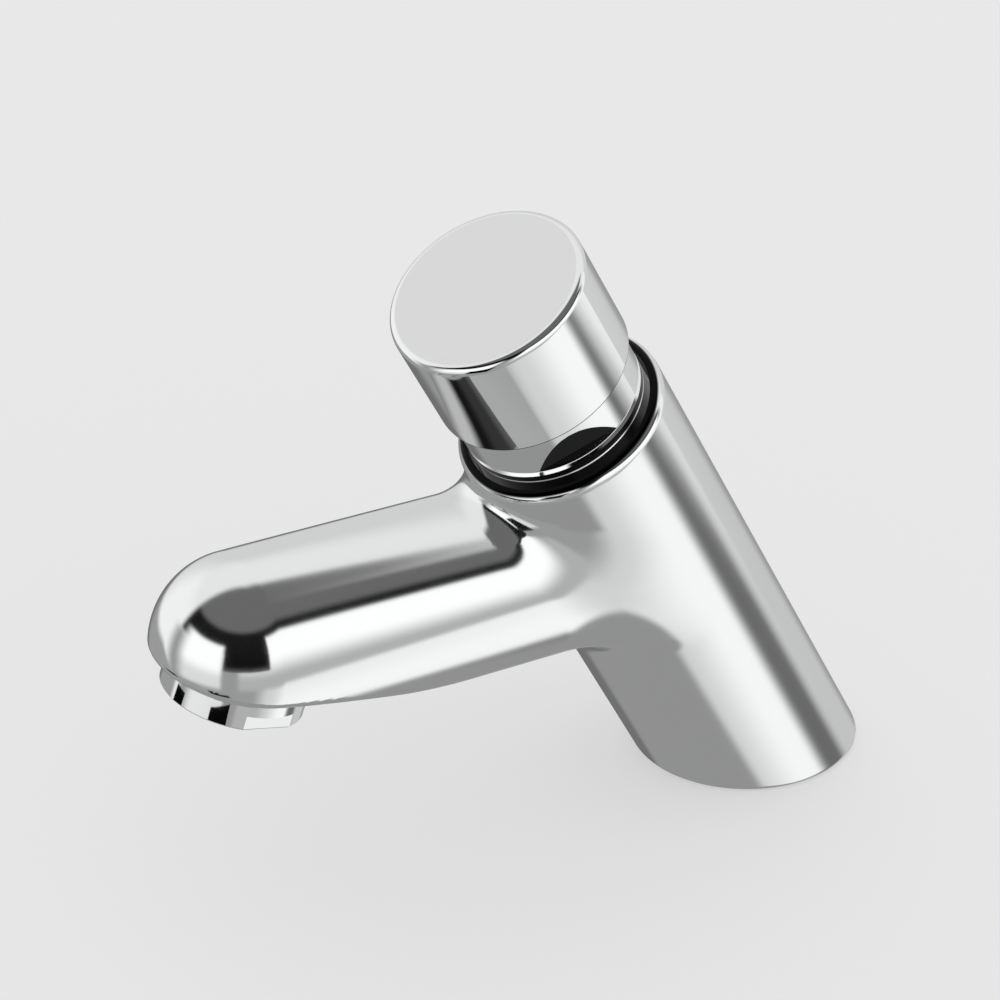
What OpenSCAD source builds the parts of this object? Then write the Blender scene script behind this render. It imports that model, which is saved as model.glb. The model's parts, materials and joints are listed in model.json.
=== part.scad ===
// Push timed basin tap: a leaning barrel with a horizontal spout, a sprung push button and a
// self-closing cartridge with a dash pot.
// Frame: +Z up, origin on the deck at the centre of the base, spout along -Y, X is the symmetry normal.
// Lengths along the barrel are measured from the deck along its leaning axis.

/* [Barrel] */
// Outside diameter of the barrel
barrel_d = 42; // [36:0.5:50]
// Forward lean of the barrel from the vertical, degrees
lean = 32; // [25:1:36]
// Length of the barrel axis from the deck to the rim
barrel_len = 108.7; // [106:0.1:120]
// Chamfer round the rim
rim_chamfer = 1.4; // [0.5:0.1:1.6]
// Depth of the counterbore at the mouth
mouth_depth = 4.5; // [3:0.1:6]

/* [Spout] */
// Width of the spout
spout_w = 34; // [30:0.5:37]
// Distance from the base centre to the centre of the rounded tip
spout_reach = 125.5; // [110:0.5:150]
// Height of the spout's crown above the deck
spout_top = 77; // [76:0.1:82]
// Height of the spout's flat underside above the deck
spout_bottom = 46.5; // [42:0.1:50]
// Rounding of the spout's lower edges
spout_edge_r = 2.6; // [1:0.1:5]
// Width of the blend between spout and barrel
blend = 9.5; // [6:0.5:12]
// Diameter of the waterway in the spout
waterway_d = 8; // [6:0.5:9]

/* [Outlet] */
// Outward tilt of the outlet from the vertical, degrees
outlet_tilt = 14; // [8:1:16]
// Height of the outlet seat's centre above the spout's underside
outlet_rise = 7.1; // [5:0.1:8]
// Distance of the outlet's centre behind the centre of the tip
outlet_setback = 0.35; // [0:0.05:2]
// Diameter of the outlet's thread
outlet_thread_d = 24; // [22:0.5:25]
// Length of the outlet's thread
outlet_thread_len = 6; // [5:0.1:7]
// Thickness of the outlet gasket
outlet_gasket_t = 1.5; // [1:0.1:2]
// Diameter of the chamber above the gasket
outlet_chamber_d = 18; // [15:0.5:19]
// Depth of the chamber above the gasket
outlet_chamber_len = 5.5; // [4:0.1:7]
// Diameter of the aerator's collar
collar_d = 27.8; // [27:0.1:29]
// Height of the aerator's collar
collar_h = 5.7; // [4.5:0.1:6.5]
// Size across the collar's two spanner flats
collar_flats = 25.8; // [25:0.1:26.5]
// Height of the spanner flats
collar_flat_h = 3; // [2:0.1:3.5]
// Bore of the aerator's housing
aerator_bore_d = 20; // [18:0.5:21]
// Height of the lip that holds the aerator's insert
aerator_lip_h = 1.1; // [0.8:0.1:1.5]
// Height of the aerator's insert
aerator_insert_h = 7; // [5:0.1:7.5]
// Thickness of the aerator's sieve
aerator_sieve_t = 1; // [0.6:0.1:1.5]

/* [Button] */
// Outside diameter of the push button
button_d = 38.9; // [38.6:0.1:41]
// Height of the push button
button_h = 23.8; // [22:0.1:27]
// Rounding of the button's upper edge
button_edge_r = 1.5; // [0.8:0.1:2.2]
// Thickness of the button's skirt
button_wall = 1; // [0.8:0.1:1.2]
// Thickness of the button's face
button_face_t = 3; // [2:0.1:4]
// Height of the button's lower edge above the rim, at rest
button_lift = 13; // [12:0.1:15]
// Travel of the button
press_travel = 7; // [5:0.1:7.5]
// Thickness of the liner's disc under the button's face
liner_t = 4.5; // [3:0.1:5]
// Diameter of the liner's boss
liner_boss_d = 14; // [12:0.5:16]
// Length of the liner's boss
liner_boss_len = 8; // [6:0.1:9]

/* [Bonnet] */
// Diameter of the bonnet above the rim
bonnet_d = 36.2; // [35:0.1:36.4]
// Height of the bonnet's ring above the rim
ring_h = 3.7; // [3:0.1:4.5]
// Height of the groove over the ring
ring_groove_h = 0.8; // [0.5:0.1:1]
// Depth of the groove over the ring
ring_groove_depth = 0.6; // [0.3:0.1:0.9]
// Depth of the spanner flats at their foot
flat_depth = 2; // [1:0.1:2.4]
// Rise over which the flats run out
flat_rise = 6.4; // [5:0.1:7.5]
// Angle of the flats round the axis, degrees
flat_turn = -15; // [-45:1:45]
// Length of the bonnet inside the button's skirt
bonnet_lap = 4.3; // [3:0.1:6]
// Diameter of the bonnet's thread
bonnet_thread_d = 34; // [33:0.1:34.5]
// Diameter of the spring well
well_d = 29; // [27:0.5:30]
// Thickness of the bonnet's floor
bonnet_floor = 4; // [3:0.1:5]
// Depth of the bonnet's floor below the mouth
bonnet_reach = 5; // [4:0.1:6]

/* [Cartridge] */
// Diameter of the cartridge bore
cartridge_d = 28; // [27:0.1:29]
// Height of the chamber's floor above the base, along the barrel's axis
chamber_floor = 26; // [25:0.1:27]
// Depth of the chamber under the valve seat
chamber_len = 20; // [19.5:0.1:22]
// Diameter of the chamber under the valve seat
chamber_d = 19; // [18:0.1:20]
// Thickness of the seat gasket
seat_gasket_t = 1.5; // [1:0.1:2]
// Height of the seat ring
seat_h = 6; // [5:0.1:7]
// Bore of the valve seat
seat_bore_d = 10.4; // [9:0.1:11]
// Length of the seat's lip
seat_lip_len = 2.5; // [2:0.1:3]
// Width of the seat's lip
seat_lip_w = 1.8; // [1:0.1:2]
// Bore of the dash-pot sleeve
sleeve_bore_d = 22.4; // [21:0.1:23]
// Height of the sleeve's ports
port_h = 8; // [5:0.1:9]
// Width of the sleeve's ports
port_w = 9; // [5:0.1:11]
// Number of the sleeve's ports
port_count = 4; // [3:1:6]
// Diameter of the gallery round the sleeve
gallery_d = 31.6; // [30:0.1:33]
// Height of the land at each end of the gallery
land_h = 4.5; // [4:0.1:5]
// Height of the gland bush
gland_h = 6; // [5:0.1:7]
// Thickness of the gland's washer
gland_washer_t = 1.2; // [0.8:0.1:1.5]
// Thickness of the O-rings
oring_t = 1.7; // [1.4:0.05:1.9]

/* [Plunger] */
// Diameter of the stem
stem_d = 8; // [7:0.1:9]
// Diameter of the stem through the valve seat
spindle_d = 5.2; // [4:0.1:6]
// Height of the piston
piston_h = 9; // [8:0.1:10]
// Distance from the sleeve's top to the piston
piston_drop = 8; // [7.5:0.1:9]
// Diameter of the stem's flange
flange_d = 13; // [11:0.5:15]
// Height of the stem's flange
flange_h = 2; // [1.5:0.1:2.5]
// Height of the lip seal
lip_seal_h = 3; // [2.5:0.1:4]
// Thickness of the piston's clip
clip_t = 1.2; // [0.8:0.1:1.5]
// Diameter of the timing needle
needle_d = 0.9; // [0.7:0.05:1.2]
// Distance of the timing needle from the axis
needle_offset = 8; // [7.5:0.1:8.2]
// Diameter of the valve carrier
carrier_d = 16; // [15.5:0.1:17]
// Height of the valve carrier
carrier_h = 6; // [5:0.1:6.5]
// Thickness of the valve washer
valve_washer_t = 2.2; // [1.5:0.1:3]
// Height of the valve nut
valve_nut_h = 2.6; // [2:0.1:3]
// Size across the valve nut's flats
valve_nut_flats = 9; // [8:0.1:10]
// Wire diameter of the return spring
spring_wire = 1.8; // [1.4:0.1:2]
// Mean diameter of the return spring
spring_d = 21; // [19:0.5:23]
// Turns of the return spring
spring_turns = 6; // [5:1:7]
// Thickness of the spring's washer
spring_washer_t = 0.8; // [0.6:0.1:1]

/* [Base] */
// Diameter of the inlet's thread
inlet_d = 10; // [9:0.5:12]
// Depth of the inlet's thread
inlet_len = 13; // [12:0.1:14]
// Distance of the inlet in front of the base centre
inlet_y = 14; // [13:0.1:14.5]
// Diameter of the thread of the fixing hole at the base centre
fixing_d = 8; // [6:0.5:8]
// Depth of the fixing hole
fixing_len = 18; // [14:0.1:18]
// Thickness of the inlet's strainer
strainer_t = 2; // [1.5:0.1:2.5]
// Width of the step over the inlet's thread and of the one over the strainer
inlet_step = 0.6; // [0.4:0.1:0.8]
// Wall between the base gasket and the barrel's outside
base_rim = 1.4; // [1:0.1:2]
// Width of the base gasket
base_gasket_w = 2; // [1.5:0.1:2.2]
// Thickness of the base gasket
base_gasket_t = 2.2; // [1.5:0.1:3]

/* [Fits] */
// Running clearance of the stem, on the radius
running_gap = 0.08; // [0.05:0.01:0.1]
// Clearance of the other moving pieces, on the radius
slide_gap = 0.3; // [0.2:0.05:0.35]
// Clearance of the fixed pieces, on the radius
seat_gap = 0.2; // [0.1:0.05:0.25]
// Clearance round the bonnet's ring
mouth_gap = 0.5; // [0.4:0.05:0.6]
// Clearance of pieces pressed on the stem, and between the shut valve and its seat
fine_gap = 0.05; // [0.02:0.01:0.1]

/* [Hidden] */
$fn = 72;

// Overshoot of cutting tools, so that no cut ends on a face
over = 1;
// A length past the whole object, for half-space cuts
far = 400;

// Barrel axis, and the direction square to it that points backwards
axis_dir = [0, -sin(lean), cos(lean)];
back_dir = [0, cos(lean), sin(lean)];
barrel_r = barrel_d / 2;
mouth_floor = barrel_len - mouth_depth;
mouth_r = bonnet_d / 2 + mouth_gap;

// Stack of the fixed cartridge pieces: the gland hangs from the barrel's mouth, the valve seat stands
// over the chamber, and the sleeve fills the length between them
bonnet_foot = mouth_floor - bonnet_reach;
well_floor = bonnet_foot + bonnet_floor;
spring_foot = well_floor + spring_washer_t;
gland_top = bonnet_foot - gland_washer_t;
gland_mid = gland_top - gland_h / 2;
sleeve_top = gland_top - gland_h;
chamber_top = chamber_floor + chamber_len;
seat_foot = chamber_top + seat_gasket_t;
seat_top = seat_foot + seat_h;
lip_face = seat_foot - seat_lip_len;
gallery_foot = seat_top + land_h;
gallery_top = sleeve_top - land_h;
thread_floor = sleeve_top + gland_h / 3;
port_foot = gallery_foot + 1.5;

// Stack of the moving pieces, at rest
button_foot = barrel_len + button_lift;
button_top = button_foot + button_h;
liner_top = button_top - button_face_t;
liner_foot = liner_top - liner_t;
boss_foot = liner_foot - liner_boss_len;
piston_top = sleeve_top - piston_drop;
piston_foot = piston_top - piston_h;
carrier_top = lip_face - fine_gap;
carrier_foot = carrier_top - carrier_h;
stem_foot = carrier_foot - valve_nut_h;
spindle_top = seat_top + 6;
bonnet_top = button_foot + bonnet_lap;

// Radii
sleeve_r = cartridge_d / 2 - seat_gap;
stem_r = stem_d / 2;
spindle_r = spindle_d / 2;
piston_r = sleeve_bore_d / 2 - slide_gap;
oring_r = oring_t / 2;
skirt_r = button_d / 2 - button_wall;
bonnet_r = bonnet_d / 2;
stem_seal_r = stem_r + running_gap + fine_gap + oring_r;

// Spout
spout_r = spout_w / 2;
crown_z = spout_top - spout_r;
outlet_y = outlet_setback - spout_reach;
outlet_z = spout_bottom + outlet_rise;
pocket_len = outlet_thread_len + outlet_gasket_t;
pocket_r = outlet_thread_d / 2;
// The waterway clears the outlet's pocket where it enters it
waterway_r = waterway_d / 2;
waterway_z = outlet_z + (pocket_len - pocket_r * sin(outlet_tilt)) / cos(outlet_tilt) + waterway_r;

// Places a child whose Z axis is the barrel's axis
module on_barrel() {
    rotate([lean, 0, 0]) children();
}

// Places a child whose Z axis is the outlet's axis, with its origin on the outlet's seat
module on_outlet() {
    translate([0, outlet_y, outlet_z]) rotate([-outlet_tilt, 0, 0]) children();
}

// Tube between two heights
module tube(r_out, r_in, z0, z1) {
    difference() {
        translate([0, 0, z0]) cylinder(r = r_out, h = z1 - z0);
        translate([0, 0, z0 - over]) cylinder(r = r_in, h = z1 - z0 + 2 * over);
    }
}

// Solid round bar between two heights
module bar(r, z0, z1) {
    translate([0, 0, z0]) cylinder(r = r, h = z1 - z0);
}

// Ring of round section
module oring(r_mid, r_wire, z) {
    translate([0, 0, z]) rotate_extrude() translate([r_mid, 0]) circle(r = r_wire, $fn = 24);
}

// Everything below the deck
module below_deck() {
    translate([-far, -far, -2 * far]) cube(2 * far);
}

// Half section of the spout: a full-round crown, a straight side and a rounded lower edge
module spout_half() {
    intersection() {
        union() {
            translate([0, crown_z]) circle(r = spout_r);
            translate([0, spout_bottom + spout_edge_r]) square([spout_r, crown_z - spout_bottom - spout_edge_r]);
            translate([0, spout_bottom]) square([spout_r - spout_edge_r, spout_edge_r]);
            translate([spout_r - spout_edge_r, spout_bottom + spout_edge_r]) circle(r = spout_edge_r);
        }
        translate([0, spout_bottom]) square([spout_r + over, spout_top - spout_bottom + over]);
    }
}

// Straight spout from the tip's centre to the barrel's axis, and the tip revolved from the same section
module spout_bar() {
    root_y = -crown_z * tan(lean);
    translate([0, root_y, 0]) rotate([90, 0, 0]) linear_extrude(spout_reach + root_y) {
        spout_half();
        mirror([1, 0]) spout_half();
    }
    translate([0, -spout_reach, 0]) rotate_extrude() spout_half();
}

// Gap of a point outside the barrel's cylinder, negative inside
function barrel_gap(p) = norm([p[0], p * back_dir]) - barrel_r;

// The larger of two gaps, with their common edge rounded
function round_max(a, b, r) = min(max(a, b), -r) + norm([max(a + r, 0), max(b + r, 0)]);

// Gap of a point outside the straight spout, which fades out behind the barrel's axis
function spout_gap(p) =
    -blend_min(-round_max(norm([p[0], max(p[2] - crown_z, 0)]) - spout_r, spout_bottom - p[2], spout_edge_r),
        -(p * back_dir + barrel_r / 3), blend);

// The smaller of two gaps, with a hollow blend of some width between the surfaces
function blend_min(a, b, width) =
    let (share = max(width - abs(a - b), 0) / width)
    min(a, b) - share * share * width / 4;

// Width of the blend, which halves towards the rim so that the rim's edge stays clear of it
function blend_width(p) = blend * (1 - min(max((p * axis_dir - barrel_len) / blend + 1, 0), 1) / 2);

// The blended skin, drawn in a little so that it sinks into barrel and spout where the blend ends
blend_skin = 0.12;
function skin_gap(p) = blend_min(barrel_gap(p), spout_gap(p), blend_width(p)) + blend_skin;

// Distance from the blend's centre to the skin along a direction, by halving
function skin_reach(dir, near, far, steps) =
    steps == 0 ? near :
    let (mid = (near + far) / 2)
    skin_gap(blend_centre + mid * dir) < 0 ? skin_reach(dir, mid, far, steps - 1)
        : skin_reach(dir, near, mid, steps - 1);

// Value that runs from the side's to the top's or the foot's as a ray turns round the spout
function round_spout(turn, side, top, foot) =
    let (lift = sin(turn))
    lift > 0 ? side + (top - side) * lift ^ 2 : side + (foot - side) * lift ^ 4;

// The blend is seen as a skin round a centre on the spout's middle line, just in front of the
// barrel's axis: rings of rays open from the spout towards the barrel
blend_back = barrel_r / 4;
blend_centre = [0, -(blend_back + crown_z * sin(lean)) / cos(lean), crown_z];
blend_rings = 13;
blend_turns = 44;
blend_points = concat(
    [for (ring = [0 : blend_rings - 1], i = [0 : blend_turns - 1])
        let (turn = 360 * i / blend_turns,
            first = round_spout(turn, 34, 20, 30),
            last = round_spout(turn, 122, 38, 84),
            open = first + (last - first) * ring / (blend_rings - 1),
            dir = [sin(open) * cos(turn), -cos(open), sin(open) * sin(turn)])
        blend_centre + dir * skin_reach(dir, barrel_r / 4, 3 * barrel_r, 16)],
    [blend_centre - [0, barrel_r, 0], blend_centre]);
blend_faces = concat(
    [for (ring = [0 : blend_rings - 2], i = [0 : blend_turns - 1])
        let (a = ring * blend_turns + i,
            b = ring * blend_turns + (i + 1) % blend_turns)
        each [[a, b, a + blend_turns], [b, b + blend_turns, a + blend_turns]]],
    [for (i = [0 : blend_turns - 1])
        [(i + 1) % blend_turns, i, blend_rings * blend_turns]],
    [for (i = [0 : blend_turns - 1])
        let (start = (blend_rings - 1) * blend_turns)
        [start + i, start + (i + 1) % blend_turns, blend_rings * blend_turns + 1]]);

// Cast body: barrel, spout and their blend, with the cartridge's bores, the waterway and the threads
module tap_body() {
    color("gainsboro") difference() {
        union() {
            on_barrel() rotate_extrude() polygon([[0, -barrel_r], [barrel_r, -barrel_r],
                [barrel_r, barrel_len - rim_chamfer], [barrel_r - rim_chamfer, barrel_len],
                [0, barrel_len]]);
            spout_bar();
            polyhedron(blend_points, blend_faces);
        }
        below_deck();
        // The rim's plane trims the blend
        on_barrel() bar(barrel_r + 4, barrel_len, barrel_len + 30);
        // Sloping seat of the outlet
        on_outlet() translate([-far / 2, -far / 8, -far / 2]) cube([far, far / 4, far / 2]);
        body_bores();
        outlet_bores();
        base_bores();
    }
}

// Bores for the cartridge and the bonnet, all on the barrel's axis
module body_bores() {
    on_barrel() {
        bar(chamber_d / 2, chamber_floor, chamber_top + over);
        bar(cartridge_d / 2, chamber_top, thread_floor + over);
        bar(gallery_d / 2, gallery_foot, gallery_top);
        bar(bonnet_thread_d / 2, thread_floor, mouth_floor + over);
        bar(mouth_r, mouth_floor, barrel_len + over);
    }
}

// Waterway along the spout and the aerator's threaded pocket
module outlet_bores() {
    gallery_y = -waterway_z * tan(lean);
    translate([0, gallery_y, waterway_z]) rotate([90, 0, 0])
        cylinder(r = waterway_r, h = gallery_y - outlet_y);
    on_outlet() {
        bar(pocket_r, -over, pocket_len);
        bar(outlet_chamber_d / 2, pocket_len - over, pocket_len + outlet_chamber_len);
    }
}

// Inlet, fixing hole and gasket groove in the base
module base_bores() {
    inlet_top = (chamber_floor - inlet_y * sin(lean)) / cos(lean) + over;
    translate([0, -inlet_y, 0]) {
        bar(inlet_d / 2, -over, inlet_len);
        bar(strainer_r + seat_gap, inlet_len - over, strainer_top);
        bar(strainer_r - inlet_step, strainer_top - over, inlet_top);
    }
    bar(fixing_d / 2, -over, fixing_len);
    base_ring(barrel_r - base_rim, barrel_r - base_rim - base_gasket_w, base_gasket_t);
}

// Ring that follows the base's outline, between the deck and a height
module base_ring(r_out, r_in, h) {
    intersection() {
        on_barrel() tube(r_out, r_in, -barrel_r, 2 * barrel_r);
        translate([-far / 2, -far / 2, 0]) cube([far, far, h]);
    }
}

// Chromed bonnet: threaded foot, ring in the barrel's mouth, neck with two run-out spanner flats
module bonnet() {
    ring_top = barrel_len + ring_h;
    groove_top = ring_top + ring_groove_h;
    groove_r = bonnet_r - ring_groove_depth;
    flat_slope = atan(flat_depth / flat_rise);
    color("silver") on_barrel() difference() {
        union() {
            bar(bonnet_thread_d / 2 - seat_gap, thread_floor, mouth_floor + over / 2);
            bar(bonnet_r, mouth_floor, ring_top);
            bar(groove_r, ring_top - over, groove_top + over);
            bar(bonnet_r, groove_top, bonnet_top);
        }
        for (side = [0, 180])
            rotate([0, 0, flat_turn + side]) translate([bonnet_r - flat_depth, 0, groove_top])
                rotate([0, flat_slope, 0]) translate([0, -bonnet_r, 0])
                    cube([bonnet_r, 2 * bonnet_r, 2 * flat_rise]);
        bar(sleeve_r + seat_gap, thread_floor - over, bonnet_foot);
        bar(stem_r + slide_gap, bonnet_foot - over, well_floor + over);
        bar(well_d / 2, well_floor, bonnet_top + over);
        oring_groove(bonnet_thread_d / 2, bonnet_oring_z);
    }
}
bonnet_oring_z = mouth_floor - 2 * oring_t;

// Groove for an O-ring that seals outwards against a bore
module oring_groove(bore_r, z) {
    tube(bore_r + over, bore_r - fine_gap - 2 * oring_r - fine_gap, z - oring_t * 0.6, z + oring_t * 0.6);
}

// O-ring that seals outwards against a bore
module bore_oring(bore_r, z) {
    color("dimgray") on_barrel() oring(bore_r - fine_gap - oring_r, oring_r, z);
}

module bonnet_oring() {
    bore_oring(bonnet_thread_d / 2, bonnet_oring_z);
}

// Dash-pot sleeve with a ring of ports over the valve seat and two seal grooves
module cartridge_sleeve() {
    color("goldenrod") on_barrel() difference() {
        tube(sleeve_r, sleeve_bore_d / 2, seat_top, sleeve_top);
        for (i = [0 : port_count - 1])
            rotate([0, 0, 360 * i / port_count - 90])
                translate([0, -port_w / 2, port_foot]) cube([barrel_r, port_w, port_h]);
        oring_groove(cartridge_d / 2, sleeve_seal_lower);
        oring_groove(cartridge_d / 2, sleeve_seal_upper);
    }
}
sleeve_seal_lower = seat_top + land_h / 2;
sleeve_seal_upper = sleeve_top - land_h / 2;

module sleeve_oring_lower() {
    bore_oring(cartridge_d / 2, sleeve_seal_lower);
}

module sleeve_oring_upper() {
    bore_oring(cartridge_d / 2, sleeve_seal_upper);
}

// Valve seat with a lip that hangs into the chamber
module seat_ring() {
    seat_bore_r = seat_bore_d / 2;
    color("goldenrod") on_barrel() {
        tube(sleeve_r, seat_bore_r, seat_foot, seat_top);
        tube(seat_bore_r + seat_lip_w, seat_bore_r, lip_face, seat_foot);
    }
}

module seat_gasket() {
    color("dimgray") on_barrel() tube(sleeve_r, chamber_d / 2, chamber_top, seat_foot);
}

// Guide bush on top of the sleeve, with a well for the stem's seal and a hole for the needle
module gland_bush() {
    color("whitesmoke") on_barrel() difference() {
        tube(sleeve_r, stem_r + running_gap, sleeve_top, gland_top);
        bar(stem_seal_r + oring_r + fine_gap, gland_top - oring_t * 1.2, gland_top + over);
        translate([needle_offset, 0, 0]) bar(needle_d / 2 + fine_gap / 2, sleeve_top - over, gland_mid);
    }
}

module stem_oring() {
    color("dimgray") on_barrel() oring(stem_seal_r, oring_r, gland_top - oring_t * 0.6);
}

module gland_washer() {
    color("silver") on_barrel() tube(sleeve_r, stem_r + slide_gap, gland_top, bonnet_foot);
}

// Wire that hangs from the gland through the piston's bleed hole and keeps it clear
module timing_needle() {
    color("lightgray") on_barrel() translate([needle_offset, 0, 0])
        bar(needle_d / 2, piston_foot - press_travel - 2, gland_mid);
}

module spring_washer() {
    color("silver") on_barrel()
        tube(well_d / 2 - seat_gap, stem_r + slide_gap, well_floor, spring_foot);
}

// Return spring: one helical wire whose ends are wound flat onto the washer and the liner
spring_sides = 8;
spring_ring_per_turn = 20;
spring_r = spring_d / 2;
spring_low = spring_foot + spring_wire / 2 + fine_gap;
spring_high = liner_foot - spring_wire / 2 - fine_gap;
spring_rings = spring_turns * spring_ring_per_turn;
spring_closed = 1.25 * spring_wire;
spring_rise = spring_high - spring_low;
// Height share of the wire: a closed turn at each end, and an even pitch between
function spring_z(turn) =
    let (active = (spring_rise - 2 * spring_closed) / (spring_turns - 2))
    turn < 1 ? spring_low + spring_closed * turn :
    turn > spring_turns - 1 ? spring_high - spring_closed * (spring_turns - turn) :
    spring_low + spring_closed + active * (turn - 1);
spring_points = [for (ring = [0 : spring_rings], side = [0 : spring_sides - 1])
    let (turn = ring / spring_ring_per_turn,
        around = 360 * side / spring_sides,
        r = spring_r + spring_wire / 2 * cos(around))
    [r * cos(360 * turn), r * sin(360 * turn), spring_z(turn) + spring_wire / 2 * sin(around)]];
spring_faces = concat(
    [for (ring = [0 : spring_rings - 1], side = [0 : spring_sides - 1])
        let (a = ring * spring_sides + side,
            b = ring * spring_sides + (side + 1) % spring_sides)
        each [[a, b, a + spring_sides], [b, b + spring_sides, a + spring_sides]]],
    [[for (side = [spring_sides - 1 : -1 : 0]) side],
        [for (side = [0 : spring_sides - 1]) spring_rings * spring_sides + side]]);
echo(spring_least_gap = spring_closed - spring_wire);

module return_spring() {
    color("lightgray") on_barrel() polyhedron(spring_points, spring_faces);
}

// Perforated disc: holes on a centre and two rings
module sieve_holes(r, hole_r, h) {
    bar(hole_r, -over, h + over);
    for (ring = [1, 2], i = [0 : 6 * ring - 1])
        rotate([0, 0, 60 * i / ring]) translate([r * ring / 2.6, 0, 0]) bar(hole_r, -over, h + over);
}

module inlet_strainer() {
    color("lightgray") translate([0, -inlet_y, strainer_top - strainer_t]) difference() {
        bar(strainer_r, 0, strainer_t);
        sieve_holes(strainer_r, 0.5, strainer_t);
    }
}
strainer_r = inlet_d / 2 - inlet_step - seat_gap;
strainer_top = inlet_len + strainer_t + slide_gap;

// Gasket in the base's groove, level with the deck face
module base_gasket() {
    color("dimgray") base_ring(barrel_r - base_rim - seat_gap,
        barrel_r - base_rim - base_gasket_w + seat_gap, base_gasket_t);
}

// Aerator housing: a collar with two spanner flats under a threaded sleeve
module aerator_housing() {
    bore_r = aerator_bore_d / 2;
    color("silver") on_outlet() difference() {
        union() {
            bar(collar_d / 2, -collar_h, 0);
            bar(pocket_r - seat_gap, -over, outlet_thread_len);
        }
        bar(bore_r, aerator_lip_h - collar_h, outlet_thread_len + over);
        bar(bore_r - aerator_lip_h, -collar_h - over, outlet_thread_len);
        for (side = [-1, 1])
            translate([side * (collar_flats / 2 + collar_d / 2), 0, -collar_h - over])
                translate([-collar_d / 2, -collar_d / 2, 0])
                    cube([collar_d, collar_d, collar_flat_h + over]);
    }
}

// Aerator insert: a rim with a grid of blades across its mouth
module aerator_insert() {
    r = aerator_bore_d / 2 - seat_gap;
    foot = aerator_lip_h - collar_h;
    blade_h = 2;
    color("whitesmoke") on_outlet() translate([0, 0, foot]) {
        tube(r, r - 1.2, 0, aerator_insert_h);
        intersection() {
            bar(r - 1, 0, blade_h);
            for (turn = [0, 90], step = [-4 : 4])
                rotate([0, 0, turn]) translate([-r, step * r / 5 - 0.3, 0]) cube([2 * r, 0.6, blade_h]);
        }
    }
}

module aerator_sieve() {
    r = aerator_bore_d / 2 - seat_gap;
    foot = aerator_lip_h - collar_h + aerator_insert_h;
    color("lightgray") on_outlet() translate([0, 0, foot]) difference() {
        bar(r, 0, aerator_sieve_t);
        sieve_holes(r, 1.1, aerator_sieve_t);
    }
}

module aerator_gasket() {
    color("dimgray") on_outlet()
        tube(pocket_r - seat_gap, outlet_chamber_d / 2, outlet_thread_len, pocket_len);
}

// Push button: a turned shell with a flat face and a rounded edge
module push_button() {
    r = button_d / 2;
    edge = button_edge_r;
    color("lightgray") on_barrel() difference() {
        rotate_extrude() {
            translate([0, button_foot]) square([r, button_h - edge]);
            translate([0, button_foot]) square([r - edge, button_h]);
            translate([r - edge, button_top - edge]) circle(r = edge);
        }
        bar(skirt_r, button_foot - over, liner_top);
    }
}

// Liner pressed into the button, with a boss that takes the stem
module button_liner() {
    color("whitesmoke") on_barrel() difference() {
        union() {
            bar(skirt_r - fine_gap, liner_foot, liner_top);
            bar(liner_boss_d / 2, boss_foot, liner_foot + over);
        }
        bar(stem_r + fine_gap, boss_foot - over, liner_foot);
    }
}

// Stem: from the liner down through gland, piston and seat to the valve
module stem() {
    color("lightgray") on_barrel() {
        bar(stem_r, spindle_top, liner_foot);
        bar(flange_d / 2, piston_top, piston_top + flange_h);
        bar(spindle_r, stem_foot, spindle_top);
    }
}

// Dash-pot piston with a groove for its lip seal and a bleed hole for the needle
module piston() {
    color("whitesmoke") on_barrel() difference() {
        bar(piston_r, piston_foot, piston_top);
        bar(stem_r + fine_gap, piston_foot - over, piston_top + over);
        tube(barrel_r, lip_seal_in, lip_seal_foot - fine_gap, lip_seal_foot + lip_seal_h + fine_gap);
        translate([needle_offset, 0, 0])
            bar(needle_d / 2 + slide_gap, piston_foot - over, piston_top + over);
    }
}
lip_seal_foot = piston_foot + piston_h / 3;
lip_seal_in = needle_offset + needle_d / 2 + slide_gap + 0.6;

// Lip seal: a ring whose outer lip flares downwards
module lip_seal() {
    lip_r = sleeve_bore_d / 2 - slide_gap / 2;
    heel_r = lip_seal_in + (lip_r - lip_seal_in) * 0.6;
    color("dimgray") on_barrel() rotate_extrude() polygon([
        [lip_seal_in + fine_gap, lip_seal_foot], [lip_r, lip_seal_foot],
        [lip_r, lip_seal_foot + lip_seal_h / 3], [heel_r, lip_seal_foot + lip_seal_h],
        [lip_seal_in + fine_gap, lip_seal_foot + lip_seal_h]]);
}

// Open clip under the piston
module piston_clip() {
    color("lightgray") on_barrel() difference() {
        tube(flange_d / 2, stem_r + fine_gap, piston_foot - clip_t, piston_foot);
        translate([-flange_d, -stem_r * 0.7, piston_foot - clip_t - over])
            cube([flange_d, stem_r * 1.4, clip_t + 2 * over]);
    }
}

// Valve carrier: a cup that holds the washer against the seat's lip
module valve_carrier() {
    color("goldenrod") on_barrel() difference() {
        bar(carrier_d / 2, carrier_foot, carrier_top - valve_washer_t / 2);
        bar(spindle_r + fine_gap, carrier_foot - over, carrier_top);
        bar(carrier_d / 2 - 0.8, carrier_top - valve_washer_t, carrier_top);
    }
}

module valve_washer() {
    color("dimgray") on_barrel()
        tube(carrier_d / 2 - 0.8 - fine_gap, spindle_r + fine_gap, carrier_top - valve_washer_t, carrier_top);
}

module valve_nut() {
    color("goldenrod") on_barrel() difference() {
        translate([0, 0, stem_foot]) cylinder(d = valve_nut_flats / cos(30), h = valve_nut_h, $fn = 6);
        bar(spindle_r + fine_gap, stem_foot - over, carrier_foot + over);
    }
}

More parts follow.
